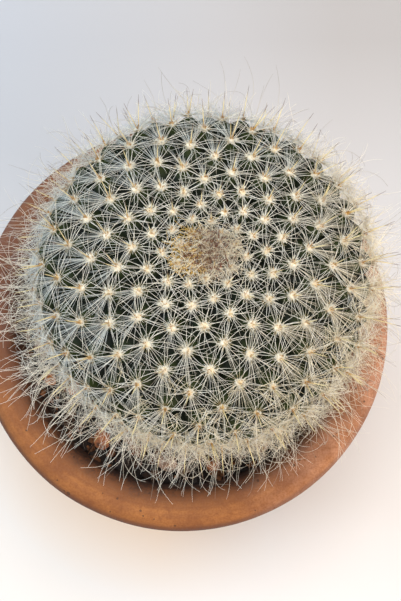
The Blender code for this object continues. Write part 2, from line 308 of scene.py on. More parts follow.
mottle = bpy.data.node_groups.new("mottle", "ShaderNodeTree")
for socket_name, kind, default in (
    ("Light", "NodeSocketColor", (0.8, 0.8, 0.8, 1)),
    ("Dark", "NodeSocketColor", (0.2, 0.2, 0.2, 1)),
    ("Size", "NodeSocketFloat", 0.01),
    ("Contrast", "NodeSocketFloat", 0.2),
):
    socket = mottle.interface.new_socket(socket_name, in_out="INPUT", socket_type=kind)
    socket.default_value = default
mottle.interface.new_socket("Colour", in_out="OUTPUT", socket_type="NodeSocketColor")
mottle.interface.new_socket("Height", in_out="OUTPUT", socket_type="NodeSocketFloat")
given = mottle.nodes.new("NodeGroupInput").outputs
scale = count(mottle, "DIVIDE", 1.0, given["Size"])
cloud = clouds(mottle, object_place(mottle), scale, 6.0, 0.62)
low = count(mottle, "SUBTRACT", 0.5, given["Contrast"])
high = count(mottle, "ADD", 0.5, given["Contrast"])
share = spread(mottle, cloud, low, high)
made = mottle.nodes.new("NodeGroupOutput").inputs
mottle.links.new(mix(mottle, share, given["Dark"], given["Light"]), made["Colour"])
mottle.links.new(cloud, made["Height"])


def mottled(tree, light, dark, size, contrast=0.2):
    """Places the mottle group with a material's own values."""
    values = {"Light": light, "Dark": dark, "Size": size, "Contrast": contrast}
    group = tree.nodes.new("ShaderNodeGroup")
    group.node_tree = mottle
    for key, value in values.items():
        group.inputs[key].default_value = value
    return group.outputs["Colour"], group.outputs["Height"]


def bump(tree, height, distance, strength=1.0, below=None):
    """Relief of a height, over the relief below it. It gives the normals' socket."""
    values = {"Height": height, "Distance": distance, "Strength": strength}
    if below:
        values["Normal"] = below
    return add_node(tree, "Bump", values).outputs["Normal"]


pot_material, tree, shader = new_material("terracotta_clay")
place = object_place(tree)
x, y, z = add_node(tree, "SeparateXYZ", {0: place}).outputs
radius = count(tree, "POWER", count(tree, "ADD", times(tree, x, x), times(tree, y, y)), 0.5)
rings = add_node(tree, "CombineXYZ", {0: radius, 1: 0.0, 2: z}).outputs[0]
lines = clouds(tree, rings, TURNING_SCALE, 3.0)
grain = clouds(tree, place, GRAIN_SCALE, 4.0)
stain = clouds(tree, place, STAIN_SCALE, 5.0, 0.7)
wear = clouds(tree, place, WEAR_SCALE, 5.0, 0.7)
clay, _ = mottled(tree, TERRACOTTA, TERRACOTTA_DARK, 0.010, 0.16)
clay = mix(tree, spread(tree, lines, 0.40, 0.70, 0.0, 0.55), clay, TERRACOTTA_DARK)
# Painted shade: a dark line round the lip's outer edge, where it turns under out of the light.
clay = mix(tree, spread(tree, radius, *RIM_SHADE_BAND, 0.0, 0.85), clay, RIM_PAINTED_SHADE)
on_lip = spread(tree, z, *LIP_BAND)
# Painted shade with some damp darkening: the lip's inner slope, turned away from the light and under
# the plant, is darker all round.
slope = times(tree, on_lip, spread(tree, radius, *SLOPE_SHADE_BAND, 0.0, 0.8))
clay = mix(tree, slope, clay, INNER_SLOPE_SHADE_AND_DAMP)
# Painted shadow: a near-black band at the mouth's edge, for the shaded inner wall below it.
mouth_shadow = times(tree, on_lip, spread(tree, radius, *MOUTH_SHADOW_BAND, 0.0, 0.95))
clay = mix(tree, mouth_shadow, clay, MOUTH_PAINTED_SHADOW)
# Painted shadow: the left of the lip, away from the front, is darker, as it lies in the plant's
# shadow.
left_shadow = times(tree, spread(tree, x, *LEFT_SHADOW_BAND, 0.0, 0.85), spread(tree, y, *NOT_FRONT_BAND))
clay = mix(tree, left_shadow, clay, LEFT_PAINTED_SHADOW)
damp = count(tree, "ADD", stain, spread(tree, radius, *DAMP_BAND, -0.30, 0.16))
clay = mix(tree, times(tree, on_lip, spread(tree, damp, 0.45, 0.66, 0.0, 0.8)), clay, DAMP_STAIN)
# Painted light: pale, patchy tone on the right of the lip, for the key light and its sheen there.
right_light = times(tree, spread(tree, x, *RIGHT_LIGHT_BAND), spread(tree, stain, 0.35, 0.6, 0.25, 0.8))
clay = mix(tree, right_light, clay, RIGHT_PAINTED_LIGHT)
cells = add_node(tree, "TexVoronoi", {"Vector": place, "Scale": SPECK_SCALE, "Randomness": 1.0})
speck_size = spread(tree, stain, 0.4, 0.7, 0.04, 0.22)
specks = count(tree, "LESS_THAN", cells.outputs["Distance"], speck_size)
clay = mix(tree, times(tree, specks, 0.7), clay, SPECK)
clay = mix(tree, spread(tree, grain, 0.42, 0.66, 0.0, 0.4), clay, TERRACOTTA_DARK)
clay = mix(tree, spread(tree, wear, 0.52, 0.68, 0.0, 0.65), clay, TERRACOTTA_DARK)
tree.links.new(clay, shader.inputs["Base Color"])
tree.links.new(spread(tree, grain, 0.3, 0.7, 0.65, 0.9), shader.inputs["Roughness"])
relief = bump(tree, grain, 0.0001, 0.6, bump(tree, lines, 0.0002, 0.5))
tree.links.new(relief, shader.inputs["Normal"])

pot = add_piece("pot_clay", pot_mesh, pot_material)
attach(pot, "root")
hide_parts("pot")


# The soil: dark potting mix that fills the pot to 11 mm under the lip. Its top is uneven, with
# crumbs of peat and bark on it, and the plant's base stands in a plain hole in the middle.
SOIL_TOP = 0.089
HOLE_RADIUS = 0.0305
HOLE_FLOOR = 0.084
SOIL_GAP = 0.0003
SOIL_SIDES = 180
SOIL_RINGS = 22
SOIL_EDGE = 0.001
SOIL_BUMP, SOIL_BUMPS_PER_METRE = 0.0017, 170
SOIL_CRUMBLE, CRUMBLES_PER_METRE = 0.0005, 700
CRUMBS = 1000
CRUMB_RADII = (0.0005, 0.0032)
CRUMB_RING = (0.0295, 0.0466)
PEAT = display(46, 32, 24)
PEAT_DARK = display(6, 4, 4)
BARK = display(128, 80, 46)


def wall_radius(height):
    """The soil's radius at a height, just inside the pot's wall."""
    share = (height - FLOOR) / (POT_HEIGHT - LIP_ROUND - FLOOR)
    return FLOOR_RADIUS + (MOUTH_RADIUS - FLOOR_RADIUS) * share - SOIL_GAP


def soil_height(x, y):
    """The soil's uneven top at a place, in metres over the pot's underside."""
    spot = Vector((x, y, 0))
    bumps = SOIL_BUMP * noise.noise(spot * SOIL_BUMPS_PER_METRE)
    return SOIL_TOP + bumps + SOIL_CRUMBLE * noise.noise(spot * CRUMBLES_PER_METRE)


edge_radius = wall_radius(SOIL_TOP)
outline = [(0.0, HOLE_FLOOR), (HOLE_RADIUS, HOLE_FLOOR)]
for i in range(SOIL_RINGS + 1):
    outline.append((HOLE_RADIUS + (edge_radius - HOLE_RADIUS) * i / SOIL_RINGS, SOIL_TOP))
outline += [(wall_radius(FLOOR), FLOOR + SOIL_GAP), (0.0, FLOOR + SOIL_GAP)]
bm = turned(outline, SOIL_SIDES)
for vert in bm.verts:
    inside = min(1.0, (edge_radius - vert.co.xy.length) / SOIL_EDGE)
    if vert.co.z > SOIL_TOP - MERGE_WITHIN:
        vert.co.z += (soil_height(vert.co.x, vert.co.y) - SOIL_TOP) * (0.3 + 0.7 * inside)
soil_mesh = finish_mesh(bm, "soil_bed")
soil_material, tree, shader = new_material("damp_peat", roughness=0.95)
peat, lumps = mottled(tree, PEAT, PEAT_DARK, 0.0022, 0.16)
tree.links.new(peat, shader.inputs["Base Color"])
tree.links.new(bump(tree, lumps, 0.0012, 0.9), shader.inputs["Normal"])
soil = add_piece("soil_bed", soil_mesh, soil_material)
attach(soil, "root")
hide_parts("soil")

draw = np.random.default_rng(21)
bm = bmesh.new()
tint = bm.verts.layers.float.new("tint")
for _ in range(CRUMBS):
    turn = draw.uniform(0, 2 * math.pi)
    away = math.sqrt(draw.uniform(CRUMB_RING[0]**2, CRUMB_RING[1]**2))
    size = CRUMB_RADII[0] + (CRUMB_RADII[1] - CRUMB_RADII[0]) * draw.uniform() ** 2.5
    x, y = away * math.cos(turn), away * math.sin(turn)
    place = Matrix.Translation((x, y, soil_height(x, y) + size * 0.25))
    place @= Matrix.Rotation(draw.uniform(0, 6.28), 4, draw.normal(size=3))
    place @= Matrix.Diagonal((*(size * draw.uniform(0.5, 1.0, 3)), 1.0))
    made = bmesh.ops.create_icosphere(bm, subdivisions=1, radius=1.0, matrix=place)["verts"]
    shade = draw.uniform()
    for vert in made:
        vert.co += size * 0.25 * Vector(draw.normal(size=3))
        vert[tint] = shade
bmesh.ops.recalc_face_normals(bm, faces=bm.faces)
crumb_mesh = finish_mesh(bm, "soil_crumbs", math.radians(25))
crumb_material, tree, shader = new_material("peat_and_bark", roughness=0.9)
peat, lumps = mottled(tree, PEAT, PEAT_DARK, 0.0012, 0.2)
which = add_node(tree, "Attribute", attribute_name="tint").outputs["Fac"]
tree.links.new(mix(tree, spread(tree, which, 0.4, 0.9), peat, BARK), shader.inputs["Base Color"])
tree.links.new(bump(tree, lumps, 0.0004), shader.inputs["Normal"])
crumbs = add_piece("soil_crumbs", crumb_mesh, crumb_material)
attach(crumbs, "root")


# The grit: rough chips of brick, bark and tan stone, 3 to 8 mm across, that lie loose on the
# soil between the plant and the lip. Each one keeps the place and outline of its solid.
CHIP_CUTS = 3
CHIP_ROUGHNESS = 0.00035
CHIP_GRAINS_PER_METRE = 500
CHIP_COLOURS = (
    (display(224, 134, 66), display(128, 68, 34)),
    (display(190, 152, 126), display(98, 72, 58)),
    (display(226, 178, 114), display(156, 104, 58)),
    (display(186, 112, 66), display(78, 46, 30)),
)
chip_materials = []
for number, (light, dark) in enumerate(CHIP_COLOURS, 1):
    material, tree, shader = new_material(f"grit_stone_{number}", roughness=0.85)
    stone, lumps = mottled(tree, light, dark, 0.0025, 0.15)
    tree.links.new(stone, shader.inputs["Base Color"])
    tree.links.new(bump(tree, lumps, 0.0006), shader.inputs["Normal"])
    chip_materials.append(material)
chip_names = sorted(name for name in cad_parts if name.startswith("grit_"))
for number, name in enumerate(chip_names):
    bm = bmesh.new()
    bm.from_mesh(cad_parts[name].data)
    bmesh.ops.remove_doubles(bm, verts=bm.verts, dist=MERGE_WITHIN)
    bmesh.ops.subdivide_edges(bm, edges=bm.edges, cuts=CHIP_CUTS, use_grid_fill=True)
    bm.normal_update()
    for vert in bm.verts:
        rough = noise.fractal(vert.co * CHIP_GRAINS_PER_METRE, 0.8, 2.0, 4)
        vert.co += vert.normal * rough * CHIP_ROUGHNESS
    chip = add_piece(name + "_stone", finish_mesh(bm, name + "_stone", math.radians(35)),
                     chip_materials[(number * 7) % 4])
    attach(chip, "root")
    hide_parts(name)


# The plant's body: one flattened ball of dark green waxy flesh, set with rounded tubercles in
# spiral rows. It leans a little back and to the right, and its base stands in the soil.
BODY_CENTRE = Vector((0.0063, 0.0068, 0.125))
LEAN_BACK = math.radians(6.5)
LEAN_RIGHT = math.radians(3.9)
BODY_RADIUS = 0.045
CROWN_HEIGHT = 0.024
CROWN_POWER = 2.8
BELLY_DEPTH = 0.045
BELLY_POWER = 2.0
OUTLINE_STEPS = 600
OUTLINE_TURN = math.radians(150)
GOLDEN_ANGLE = math.radians(137.50776)
FIRST_AZIMUTH = 1.355
WIDEST_SPACING = 0.00993
SPACING_GROWTH = 0.0218
SPACING_START = 0.00625
HEXAGON_SHARE = 0.866
LOWEST_AREOLE = 0.0965
BODY_DETAIL = 7
TUBERCLE_DEPTH = 0.46
TUBERCLE_REACH = 0.56
TUBERCLE_POWER = 1.7
VALLEY_SHARE = 0.15
VALLEY_WIDTH = 0.16
GROWING_POINT = (-0.0010, -0.0016, CROWN_HEIGHT)
GROWING_RING = (0.0085, 0.0050)
PORE_SCALE = 2500.0
SKIN_DARK_AND_SHADE = display(5, 8, 4)
SKIN = display(20, 30, 9)
SKIN_TIP = display(54, 64, 23)
SKIN_BROWN = display(96, 78, 54)

plant_frame = Matrix.Translation(BODY_CENTRE)
plant_frame @= Matrix.Rotation(LEAN_RIGHT, 4, "Y") @ Matrix.Rotation(-LEAN_BACK, 4, "X")
plant_axes = np.array(plant_frame.to_3x3())
plant_centre = np.array(BODY_CENTRE)
plant_axis = plant_axes[:, 2]


def body_outline():
    """Half of the body's section from the crown down the side, as (radius, 0, height) points."""
    points = []
    for i in range(OUTLINE_STEPS + 1):
        turn = OUTLINE_TURN * i / OUTLINE_STEPS
        crown = math.cos(turn) > 0
        power = CROWN_POWER if crown else BELLY_POWER
        depth = CROWN_HEIGHT if crown else -BELLY_DEPTH
        radius = BODY_RADIUS * math.sin(turn) ** (2 / power)
        points.append(Vector((radius, 0.0, depth * abs(math.cos(turn)) ** (2 / power))))
    return points


def areole_places():
    """The areoles' places, outward directions, spacings and ways from the crown, as arrays.

    Each areole is turned by the golden angle from the last one, and as far down as the area of
    skin that belongs to it asks.
    """
    outline = body_outline()
    areoles = []
    grown = along = 0.0
    for upper, lower in zip(outline, outline[1:]):
        step = (lower - upper).length
        spacing = WIDEST_SPACING * (1 - math.exp(-(along + SPACING_START) / SPACING_GROWTH))
        new = math.pi * (upper.x + lower.x) * step / (HEXAGON_SHARE * spacing**2)
        while grown + new > len(areoles) + 0.5:
            share = (len(areoles) + 0.5 - grown) / new
            turned_body = plant_frame @ Matrix.Rotation(
                FIRST_AZIMUTH - (len(areoles) + 1) * GOLDEN_ANGLE, 4, "Z")
            slope = (lower - upper).normalized()
            outward = turned_body.to_3x3() @ Vector((-slope.z, 0.0, slope.x))
            spot = turned_body @ upper.lerp(lower, share)
            areoles.append((*spot, *outward, spacing, along + share * step))
        grown += new
        along += step
    areoles = np.array([areole for areole in areoles if areole[2] > LOWEST_AREOLE])
    return areoles[:, :3], areoles[:, 3:6], areoles[:, 6], areoles[:, 7]


def in_plant(spots):
    """Places relative to the body's centre and axis."""
    return (spots - plant_centre) @ plant_axes


def body_level(local):
    """How far out a place is: 1 at the level of the tubercles' tips, and less inside."""
    crown = local[:, 2] > 0
    power = np.where(crown, CROWN_POWER, BELLY_POWER)
    depth = np.where(crown, CROWN_HEIGHT, BELLY_DEPTH)
    away = np.hypot(local[:, 0], local[:, 1])
    total = (away / BODY_RADIUS) ** power + (np.abs(local[:, 2]) / depth) ** power
    return np.maximum(total, 1e-9) ** (1 / power)


spots, outwards, spacings, alongs = areole_places()
areole_tree = kdtree.KDTree(len(spots))
for number, spot in enumerate(spots):
    areole_tree.insert(spot, number)
areole_tree.balance()

bm = bmesh.new()
bmesh.ops.create_icosphere(bm, subdivisions=BODY_DETAIL, radius=1.0)
ball = np.array([vert.co for vert in bm.verts])
ball /= body_level(ball)[:, None]
skin = ball @ plant_axes.T + plant_centre
inner = (ball * 0.97) @ plant_axes.T + plant_centre
rise = bm.verts.layers.float.new("rise")
for vert, place, under in zip(bm.verts, skin, inner):
    found = areole_tree.find_n(place, 5)
    shares = sorted(distance / spacings[number] for _, number, distance in found)
    nearest = shares[0] / TUBERCLE_REACH
    border = max(0.0, 1 - (shares[1] - shares[0]) / VALLEY_WIDTH)
    sink = min(1.0, nearest) ** TUBERCLE_POWER * (1 - VALLEY_SHARE) + VALLEY_SHARE * border**2
    inward = Vector(under - place).normalized()
    spacing = spacings[found[0][1]]
    vert.co = Vector(place) + inward * (sink * TUBERCLE_DEPTH * spacing)
    vert[rise] = 1 - sink
body_mesh = finish_mesh(bm, "plant_body", math.radians(80))
body_material, tree, shader = new_material(
    "green_flesh", roughness=0.55, subsurface_weight=0.1, subsurface_scale=0.001)
shader.inputs["Specular IOR Level"].default_value = 0.15
place = object_place(tree)
flesh, _ = mottled(tree, SKIN, SKIN_DARK_AND_SHADE, 0.006, 0.3)
height = add_node(tree, "Attribute", attribute_name="rise").outputs["Fac"]
# Painted shade: the flesh darkens to near black in the valleys between the tubercles, and it is
# lighter towards their tips.
flesh = mix(tree, spread(tree, height, 0.5, 0.1, 0.0, 0.85), flesh, SKIN_DARK_AND_SHADE)
flesh = mix(tree, spread(tree, height, 0.55, 1.0, 0.0, 0.8), flesh, SKIN_TIP)
away = distance_to(tree, place, plant_frame @ Vector(GROWING_POINT))
flesh = mix(tree, spread(tree, away, *GROWING_RING, 0.0, 0.9), flesh, SKIN_BROWN)
tree.links.new(flesh, shader.inputs["Base Color"])
pores = clouds(tree, place, PORE_SCALE)
tree.links.new(bump(tree, pores, 0.00008, 0.5), shader.inputs["Normal"])
body = add_piece("plant_body", body_mesh, body_material)
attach(body, "root")
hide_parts("cactus")


# The radial spines: up to 21 thin white hair-like spines round each areole, grown from its rim.
# They stand out in a shallow star and reach over the neighbouring tubercles.
RADIAL_COUNTS = (15, 21)
RADIAL_RADIUS = 0.000070
FOCUS_DEPTH = 0.058
ROOT_LIFT = 0.0002
RIM_YOUNG, RIM_GROWTH, RIM_WEAR = 0.0006, 0.0007, 0.0006
FIBRE_SIDES = 3
TIP_SHARE = 0.2
WANDER_KEPT = 0.7
FIBRE_MERGE = 0.0000005
POT_CLEARANCE = 0.0001
SOIL_CLEARANCE = 0.0005
TABLE_CLEARANCE = 0.002
COLLAR_REACH = 0.025
HAIR_SHADE_SCALE = 260.0
# Each age is the ways from the crown, along the skin, that a change starts and is full at
WOOLLY_AGE = (0.002, 0.018)
OLD_AGE = (0.030, 0.050)
CROWN_AREA = 0.030
LOWEST_SHOWN = 0.100
RADIAL_RISES = (8, 38)
RADIAL_LENGTHS = (0.6, 0.98)
WHITE_HAIR = display(255, 251, 240)
CREAM_HAIR = display(250, 240, 214)
HAIR_ROOT = display(214, 190, 140)
HAIR_SHADE = display(196, 186, 166)


def unit(ways):
    """The same directions, each one metre long."""
    return ways / np.linalg.norm(ways, axis=-1, keepdims=True)


def smooth_share(values, low, high):
    """0 below low, 1 above high, and a smooth rise between them."""
    share = np.clip((values - low) / (high - low), 0, 1)
    return share * share * (3 - 2 * share)


def clear_of_plant(places, level):
    """Moves what is inside the body out to the given level of it."""
    local = in_plant(places)
    push = np.maximum(1.0, level / body_level(local))
    return (local * push[:, None]) @ plant_axes.T + plant_centre


def clear_of_pot(places):
    """Moves what is inside the lip, or under the soil or the table, out to its surface."""
    away = np.hypot(places[:, 0], places[:, 1])
    centre = np.clip(away, MOUTH_RADIUS + LIP_ROUND, LIP_RADIUS - LIP_ROUND)
    over = places[:, 2] - (POT_HEIGHT - LIP_ROUND)
    aside, up = away - centre, np.maximum(over, 0.0)
    distance = np.maximum(np.hypot(aside, up), 1e-6)
    near = (distance < LIP_ROUND + POT_CLEARANCE) & (over > -COLLAR_REACH)
    grow = np.where(near, (LIP_ROUND + POT_CLEARANCE) / distance, 1.0)
    new_away = np.where(near, centre + aside * grow, away)
    new_over = np.where(near & (over > 0), up * grow, over)
    lift = np.where(new_away < MOUTH_RADIUS, SOIL_TOP + SOIL_CLEARANCE, TABLE_CLEARANCE)
    result = places.copy()
    result[:, :2] *= (new_away / np.maximum(away, 1e-6))[:, None]
    result[:, 2] = np.maximum(new_over + POT_HEIGHT - LIP_ROUND, lift)
    return result


def grow_paths(roots, ways, lengths, draw, steps, curl, pull=0.0, levels=None, coil=0.0):
    """Walks every fibre from its root in equal steps, as one array of paths.

    Each step turns a little by pull, wanders by curl, and winds round an axis of its own by
    coil. The fibre slides along the body and the pot where it meets them.
    """
    ways = unit(ways)
    wander = draw.normal(size=roots.shape)
    axes = unit(draw.normal(size=roots.shape)) * np.reshape(coil, (-1, 1))
    paths = [roots]
    for step in range(steps):
        wander = WANDER_KEPT * (wander + draw.normal(size=roots.shape))
        ways = unit(ways + pull + np.cross(axes, ways) + np.reshape(curl, (-1, 1)) * wander)
        place = paths[-1] + ways * (lengths / steps)[:, None]
        level = 1.01 if levels is None else levels[min(step, len(levels) - 1)]
        place = clear_of_pot(clear_of_plant(place, level))
        ways = unit(place - paths[-1])
        paths.append(place)
    return np.stack(paths, axis=1)


def section(sides):
    """A small closed ring that is swept along the fibres, wound so that their skin faces out."""
    ring = bpy.data.curves.new("section", "CURVE")
    ring.dimensions = "3D"
    spline = ring.splines.new("POLY")
    spline.points.add(sides - 1)
    for number, point in enumerate(spline.points):
        turn = -2 * math.pi * number / sides
        point.co = (math.cos(turn), math.sin(turn), 0, 1)
    spline.use_cyclic_u = True
    holder = bpy.data.objects.new("section", ring)
    scene.collection.objects.link(holder)
    return holder


def fibre_mesh(name, paths, radii, sides=FIBRE_SIDES, tip=TIP_SHARE):
    """One closed tapering tube along each path. Its UV map's U runs from root to tip."""
    ring = section(sides)
    threads = bpy.data.curves.new(name, "CURVE")
    threads.dimensions = "3D"
    threads.bevel_mode = "OBJECT"
    threads.bevel_object = ring
    threads.use_fill_caps = True
    taper = 1 - (1 - tip) * np.linspace(0, 1, paths.shape[1]) ** 1.5
    radii = np.broadcast_to(radii, len(paths))
    for path, radius in zip(paths, radii):
        thread = threads.splines.new("POLY")
        thread.points.add(len(path) - 1)
        thread.points.foreach_set("co", np.c_[path, np.ones(len(path))].ravel())
        thread.points.foreach_set("radius", taper * radius)
    holder = bpy.data.objects.new(name, threads)
    scene.collection.objects.link(holder)
    depsgraph = bpy.context.evaluated_depsgraph_get()
    mesh = bpy.data.meshes.new_from_object(holder.evaluated_get(depsgraph))
    for spent in (holder, ring):
        bpy.data.objects.remove(spent)
    bm = bmesh.new()
    bm.from_mesh(mesh)
    bmesh.ops.remove_doubles(bm, verts=bm.verts, dist=FIBRE_MERGE)
    bm.to_mesh(mesh)
    bm.free()
    mesh.name = name
    return mesh


def tangents(normals, turns):
    """Directions at right angles to normals, turned round them by turns."""
    side = unit(np.cross(normals, [0.31, 0.87, 0.38]))
    other = np.cross(normals, side)
    return side * np.cos(turns)[:, None] + other * np.sin(turns)[:, None]


local = in_plant(spots)
away = np.hypot(local[:, 0], local[:, 1])
focus_tilt = np.arctan2(away, FOCUS_DEPTH - (CROWN_HEIGHT - local[:, 2]))
skin_tilt = np.arccos(np.clip(outwards @ plant_axis, -1, 1))
aim_tilt = np.maximum(focus_tilt, skin_tilt)
flat = np.c_[local[:, :2] / np.maximum(away, 1e-6)[:, None] * np.sin(aim_tilt)[:, None],
             np.cos(aim_tilt)]
aims = flat @ plant_axes.T

fibre_colour = bpy.data.node_groups.new("fibre_colour", "ShaderNodeTree")
for socket_name, default in (
    ("Root", HAIR_ROOT), ("Shaft", WHITE_HAIR), ("Tip", WHITE_HAIR),
    ("Root share", 0.15), ("Tip share", 0.1),
):
    kind = "NodeSocketFloat" if isinstance(default, float) else "NodeSocketColor"
    socket = fibre_colour.interface.new_socket(socket_name, in_out="INPUT", socket_type=kind)
    socket.default_value = default
fibre_colour.interface.new_socket("Colour", in_out="OUTPUT", socket_type="NodeSocketColor")
given = fibre_colour.nodes.new("NodeGroupInput").outputs
uv = add_node(fibre_colour, "UVMap", uv_map="UVMap").outputs["UV"]
along = add_node(fibre_colour, "SeparateXYZ", {0: uv}).outputs[0]
root_share, tip_share = given["Root share"], given["Tip share"]
root_end = times(fibre_colour, root_share, 0.4)
tip_start = count(fibre_colour, "SUBTRACT", 1.0, tip_share)
tip_full = count(fibre_colour, "SUBTRACT", 1.0, times(fibre_colour, tip_share, 0.5))
at_root = spread(fibre_colour, along, root_end, root_share, 1.0, 0.0)
at_tip = spread(fibre_colour, along, tip_start, tip_full)
tone = mix(fibre_colour, at_root, given["Shaft"], given["Root"])
tone = mix(fibre_colour, at_tip, tone, given["Tip"])
shade = clouds(fibre_colour, object_place(fibre_colour), HAIR_SHADE_SCALE, 3.0)
tone = mix(fibre_colour, spread(fibre_colour, shade, 0.3, 0.65, 0.25, 0.0), tone, HAIR_SHADE)
made = fibre_colour.nodes.new("NodeGroupOutput").inputs
fibre_colour.links.new(tone, made["Colour"])


def fibre_material(name, root, shaft, tip, root_share, tip_share, **plain):
    """A material for hairs or spines, coloured from root to tip."""
    material, tree, shader = new_material(name, **plain)
    group = tree.nodes.new("ShaderNodeGroup")
    group.node_tree = fibre_colour
    values = (root, shaft, tip, root_share, tip_share)
    for socket, value in zip(group.inputs, values):
        socket.default_value = value
    tree.links.new(group.outputs["Colour"], shader.inputs["Base Color"])
    return material


white_hair = fibre_material("white_hair", HAIR_ROOT, WHITE_HAIR, CREAM_HAIR, 0.2, 0.3,
                            roughness=0.45)


def dress(name, mesh, material):
    """Adds one of the plant's own pieces, which grows on the body."""
    piece = add_piece(name, mesh, material)
    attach(piece, "root")
    return piece


def repeat(counts):
    """For each fibre, the number of the areole that it grows from."""
    return np.repeat(np.arange(len(counts)), counts)


draw = np.random.default_rng(3)
age = smooth_share(alongs, *WOOLLY_AGE)
old = smooth_share(alongs, *OLD_AGE)
shown = spots[:, 2] > LOWEST_SHOWN
upright = 0.45 + 0.55 * smooth_share(outwards[:, 2], -0.1, 0.6)
counts = (RADIAL_COUNTS[0] + (RADIAL_COUNTS[1] - RADIAL_COUNTS[0]) * age) * upright
counts = np.where(shown, counts, 0).astype(int)
of = repeat(counts)
turns = np.concatenate([np.arange(n) * 2 * math.pi / n + 0.3 * n for n in counts if n])
turns += draw.normal(0, 0.10, len(of))
lean = unit(outwards + aims)[of]
side = tangents(lean, turns)
rises = np.radians(draw.uniform(*RADIAL_RISES, len(of)))[:, None]
ways = side * np.cos(rises) + lean * np.sin(rises)
rims = (RIM_YOUNG + RIM_GROWTH * age - RIM_WEAR * old)[of][:, None]
rims *= draw.uniform(0.6, 1.1, (len(of), 1))
roots = spots[of] + side * rims + lean * ROOT_LIFT
lengths = spacings[of] * draw.uniform(*RADIAL_LENGTHS, len(of)) * (1.0 + 0.35 * old[of])
paths = grow_paths(roots, ways, lengths, draw, steps=4, curl=0.04 + 0.05 * old[of],
                   pull=lean * -0.10, coil=0.09)
upper = alongs[of] < CROWN_AREA
radii = RADIAL_RADIUS * draw.uniform(0.8, 1.2, len(of))
for name, part in (("radial_spines_crown", upper), ("radial_spines_sides", ~upper)):
    dress(name, fibre_mesh(name, paths[part], radii[part]), white_hair)


# The areole wool: a small cushion of cream felt on every tubercle's tip, thick and pale on the
# crown, and worn to a golden knot lower down. It is short curly hair over a felted pad, with a
# few golden flecks where the spines' roots show through.
WOOL_HAIRS = 66
WOOL_RADIUS = 0.00010
WOOL_LIFT = 0.0004
TUFT_YOUNG, TUFT_FULL, TUFT_OLD = 0.0015, 0.0022, 0.0010
WOOL = display(255, 251, 238)
WOOL_SHADE = display(236, 216, 176)
WOOL_GOLD = display(220, 178, 96)
WOOL_LENGTHS = (0.35, 0.75)
FLECKS = 7
FLECK_RADIUS = 0.00013
FLECK_LENGTHS = (0.0005, 0.0012)
FLECK_GOLD, FLECK_BROWN = display(214, 162, 72), display(120, 70, 36)
PAD_LUMPS_PER_METRE = 1500

draw = np.random.default_rng(5)
tufts = TUFT_YOUNG + (TUFT_FULL - TUFT_YOUNG) * age - (TUFT_FULL - TUFT_OLD) * old
bm = bmesh.new()
core = bm.verts.layers.float.new("core")
for spot, aim, tuft, worn in zip(spots[shown], unit(outwards + aims)[shown], tufts[shown], old[shown]):
    turn = Vector(aim).to_track_quat("Z", "Y").to_matrix().to_4x4()
    place = Matrix.Translation(spot) @ turn @ Matrix.Diagonal((tuft * 0.5, tuft * 0.5, tuft * 0.4, 1))
    for vert in bmesh.ops.create_icosphere(bm, subdivisions=2, radius=1.0, matrix=place)["verts"]:
        from_spot = vert.co - Vector(spot)
        vert[core] = from_spot.dot(Vector(aim)) / (tuft * 0.4) + worn
        vert.co += from_spot * 0.5 * noise.noise(vert.co * PAD_LUMPS_PER_METRE)
pad_mesh = finish_mesh(bm, "areole_pads", math.radians(60))
wool_material, tree, shader = new_material("areole_felt", roughness=0.9)
felt, lumps = mottled(tree, WOOL, WOOL_SHADE, 0.0010, 0.12)
middle = add_node(tree, "Attribute", attribute_name="core").outputs["Fac"]
felt = mix(tree, spread(tree, middle, 0.80, 1.4, 0.0, 0.8), felt, WOOL_GOLD)
tree.links.new(felt, shader.inputs["Base Color"])
tree.links.new(bump(tree, lumps, 0.0004), shader.inputs["Normal"])
dress("areole_pads", pad_mesh, wool_material)

counts = np.where(shown, (WOOL_HAIRS * (0.7 + 0.3 * age) * (1 - 0.6 * old)), 0).astype(int)
of = repeat(counts)
lean = unit(outwards + aims)[of]
turns = draw.uniform(0, 2 * math.pi, len(of))
rises = np.arcsin(draw.uniform(0.05, 0.85, len(of)))[:, None]
side = tangents(lean, turns)
ways = side * np.cos(rises) + lean * np.sin(rises)
roots = spots[of] + side * (tufts[of] * draw.uniform(0.2, 0.55, len(of)))[:, None]
roots += lean * WOOL_LIFT
lengths = tufts[of] * draw.uniform(*WOOL_LENGTHS, len(of))
paths = grow_paths(roots, ways, lengths, draw, steps=2, curl=0.35, levels=[1.0])
wool_hair = fibre_material("areole_wool", WOOL, WOOL, WOOL, 0.3, 0.1, roughness=0.6)
dress("areole_wool", fibre_mesh("areole_wool", paths, WOOL_RADIUS), wool_hair)

of = repeat(np.where(shown, FLECKS, 0))
lean = unit(outwards + aims)[of]
side = tangents(lean, draw.uniform(0, 2 * math.pi, len(of)))
roots = spots[of] + side * (tufts[of] * draw.uniform(0.05, 0.4, len(of)))[:, None]
roots += lean * (tufts[of] * 0.35)[:, None]
paths = grow_paths(roots, lean + side * draw.uniform(0, 0.7, (len(of), 1)),
                   draw.uniform(*FLECK_LENGTHS, len(of)), draw, steps=1, curl=0.0)
fleck = fibre_material("areole_flecks", WOOL_GOLD, FLECK_GOLD, FLECK_BROWN, 0.2, 0.4, roughness=0.5)
dress("areole_flecks", fibre_mesh("areole_flecks", paths, FLECK_RADIUS, tip=0.6), fleck)


# The central spines: one stout straight spine in the middle of each areole, sometimes two. It
# is golden at the root, pale along the shaft and reddish brown at the point.
CENTRAL_LENGTHS = (0.0030, 0.0088)
CENTRAL_GROWN = 0.035
CENTRAL_RADIUS = 0.00016
SECOND_SHARE = 0.22
CENTRAL_GOLD, CENTRAL_PALE = display(204, 156, 70), display(240, 222, 166)
CENTRAL_BROWN = display(88, 46, 32)

